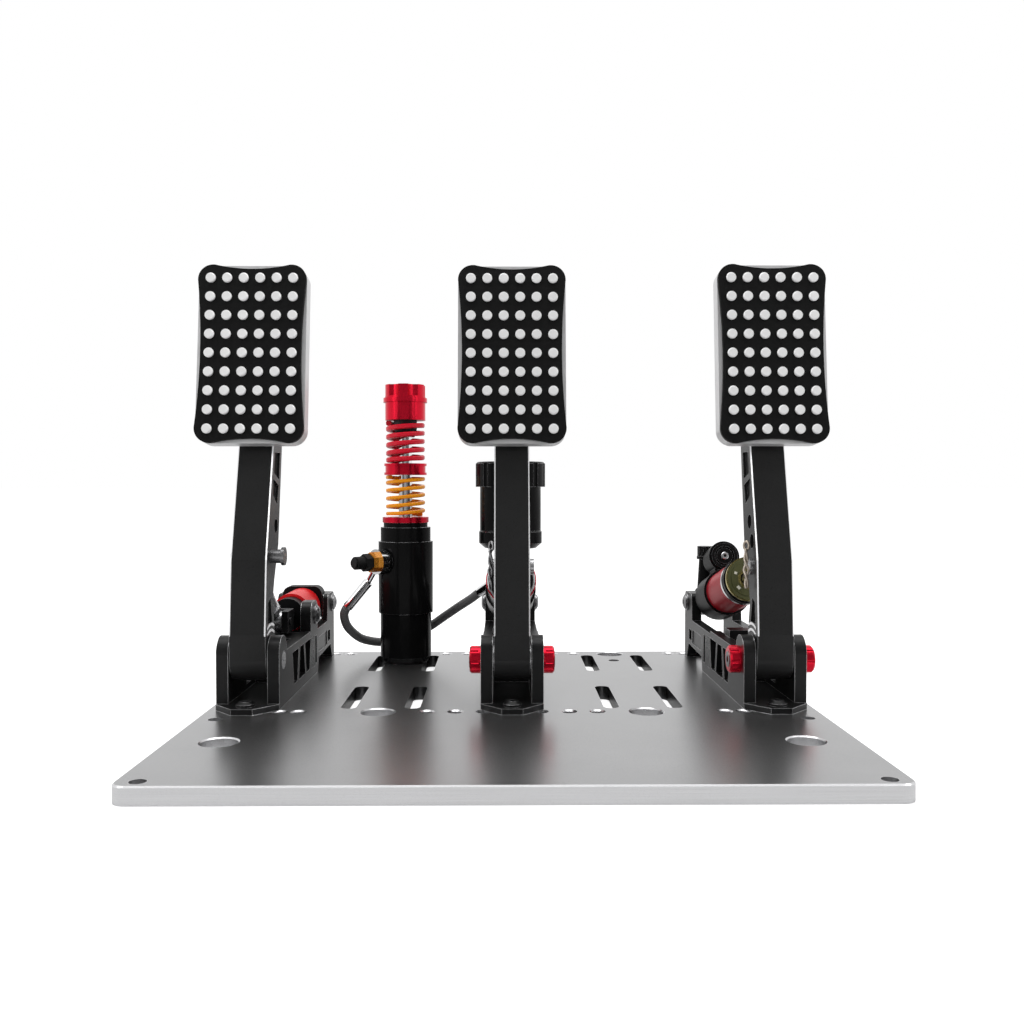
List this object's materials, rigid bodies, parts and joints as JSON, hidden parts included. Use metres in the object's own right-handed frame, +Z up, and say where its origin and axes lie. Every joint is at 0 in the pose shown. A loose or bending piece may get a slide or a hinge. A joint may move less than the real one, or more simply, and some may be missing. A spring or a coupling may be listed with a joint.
{
  "type": "sim racing pedal set",
  "caption": "Floor pedal set for a driving simulator: clutch, brake and throttle arms with studded pads on a drilled base plate, with a sprung hydraulic brake unit.",
  "frame": {"origin": "middle of the base plate's underside", "axes": "+X to the driver's right, +Y away from the driver, +Z up"},
  "size_m": [0.424, 0.39, 0.3086],
  "materials": {
    "black_plate": "satin black anodised plate with fine grain",
    "black_metal": "satin black anodised aluminium",
    "steel": "bright steel",
    "polished": "polished aluminium",
    "chrome": "polished chrome",
    "red_metal": "red anodised aluminium",
    "gold": "gold anodised ring",
    "board": "olive circuit board",
    "black_plastic": "black moulded plastic",
    "orange_spring": "orange powder coat",
    "red_spring": "red powder coat",
    "orange_metal": "orange anodised aluminium",
    "rubber": "black rubber hose",
    "pad_face": "black face with a fine twill grain"
  },
  "bodies": {
    "base": {"base_plate": "black_plate", "clutch_chassis": "black_metal", "brake_chassis": "black_metal", "throttle_chassis": "black_metal", "chassis_bolts": "steel", "pivot_axles": "steel", "axle_caps": "red_metal", "unit_bolts": "steel", "clutch_can": "red_metal", "clutch_blocks": "black_metal", "clutch_return_spring": "steel", "brake_can": "black_metal", "brake_gland": "black_metal", "brake_cradle": "black_metal", "reservoir_body": "black_plastic", "throttle_can": "red_metal", "throttle_flange": "black_metal", "throttle_gland": "gold", "throttle_sensor_board": "board", "throttle_cradle": "black_metal", "throttle_piggyback": "black_metal", "throttle_return_spring": "steel", "unit_body": "black_metal", "unit_sleeve": "black_metal", "unit_gland": "black_metal", "spring_seat": "red_metal", "lower_spring": "orange_spring", "banjo_bolt": "orange_metal", "hose_fittings": "chrome", "bleed_nipple": "rubber", "brake_hose": "rubber"},
    "clutch_pedal": {"clutch_arm": "black_metal", "clutch_pad_back": "polished", "clutch_pad_face": "pad_face", "clutch_studs": "polished", "clutch_bushes": "steel", "clutch_pin": "steel"},
    "brake_pedal": {"brake_arm": "black_metal", "brake_pad_back": "polished", "brake_pad_face": "pad_face", "brake_studs": "polished", "brake_bushes": "steel", "brake_pin": "steel"},
    "throttle_pedal": {"throttle_arm": "black_metal", "throttle_pad_back": "polished", "throttle_pad_face": "pad_face", "throttle_studs": "polished", "throttle_bushes": "steel", "throttle_pin": "steel"},
    "clutch_link": {"clutch_link": "steel"},
    "clutch_plunger": {"clutch_plunger": "black_metal"},
    "brake_pushrod": {"brake_pushrod": "steel"},
    "throttle_rod": {"throttle_rod": "steel"},
    "unit_mid": {"mid_collar": "red_metal", "upper_spring": "red_spring"},
    "unit_rod": {"unit_rod": "chrome"},
    "unit_cap": {"unit_cap": "red_metal"},
    "reservoir_cap": {"reservoir_cap": "black_plastic"},
    "damper_knob": {"damper_knob": "black_plastic"}
  },
  "joints": [
    {"name": "clutch_press", "type": "hinge", "parent": "base", "child": "clutch_pedal", "pos_m": [-0.1755, -0.0175, 0.041], "axis": [-1, 0, 0], "range_deg": [0, 16], "stiffness_Nm_per_rad": 40, "springref_deg": -8.59},
    {"name": "brake_press", "type": "hinge", "parent": "base", "child": "brake_pedal", "pos_m": [0, -0.0175, 0.041], "axis": [-1, 0, 0], "range_deg": [0, 6], "stiffness_Nm_per_rad": 120, "springref_deg": -4.58},
    {"name": "throttle_press", "type": "hinge", "parent": "base", "child": "throttle_pedal", "pos_m": [0.1755, -0.0175, 0.041], "axis": [-1, 0, 0], "range_deg": [0, 14], "stiffness_Nm_per_rad": 40, "springref_deg": -8.59, "deforming": ["throttle_return_spring"]},
    {"name": "clutch_link_turn", "type": "hinge", "parent": "clutch_pedal", "child": "clutch_link", "pos_m": [-0.1755, -0.014, 0.111], "axis": [-1, 0, 0], "range_deg": [-19.1, 0]},
    {"name": "clutch_plunger_slide", "type": "slide", "parent": "base", "child": "clutch_plunger", "axis": [0, 1, 0], "range_m": [0, 0.022], "deforming": ["clutch_return_spring"]},
    {"name": "brake_pushrod_turn", "type": "hinge", "parent": "brake_pedal", "child": "brake_pushrod", "pos_m": [0, -0.0115, 0.1035], "axis": [-1, 0, 0], "range_deg": [-5.6, 0]},
    {"name": "throttle_rod_turn", "type": "hinge", "parent": "throttle_pedal", "child": "throttle_rod", "pos_m": [0.1755, -0.01259, 0.1036], "axis": [-1, 0, 0], "range_deg": [-13.3, 0]},
    {"name": "unit_rod_slide", "type": "slide", "parent": "base", "child": "unit_rod", "axis": [0, 0, -1], "range_m": [0, 0.0101], "deforming": ["upper_spring"]},
    {"name": "unit_mid_slide", "type": "slide", "parent": "base", "child": "unit_mid", "axis": [0, 0, -1], "range_m": [0, 0.0061], "deforming": ["lower_spring"]},
    {"name": "unit_cap_turn", "type": "hinge", "parent": "unit_rod", "child": "unit_cap", "pos_m": [-0.0885, 0.15, 0.22], "axis": [0, 0, 1], "continuous": true},
    {"name": "reservoir_cap_turn", "type": "hinge", "parent": "base", "child": "reservoir_cap", "pos_m": [0, 0.11, 0.17], "axis": [0, 0, 1], "continuous": true},
    {"name": "damper_knob_turn", "type": "hinge", "parent": "base", "child": "damper_knob", "pos_m": [0.168, 0.157, 0.1], "axis": [0, 0, 1], "continuous": true}
  ],
  "couplings": [
    {"joint": "clutch_link_turn", "follows": "clutch_press", "ratio": -1.19},
    {"joint": "clutch_plunger_slide", "follows": "clutch_press", "m_per_rad": 0.0785},
    {"joint": "brake_pushrod_turn", "follows": "brake_press", "ratio": -0.92},
    {"joint": "throttle_rod_turn", "follows": "throttle_press", "ratio": -0.94},
    {"joint": "unit_rod_slide", "follows": "brake_press", "m_per_rad": 0.0955},
    {"joint": "unit_mid_slide", "follows": "brake_press", "m_per_rad": 0.0573}
  ]
}
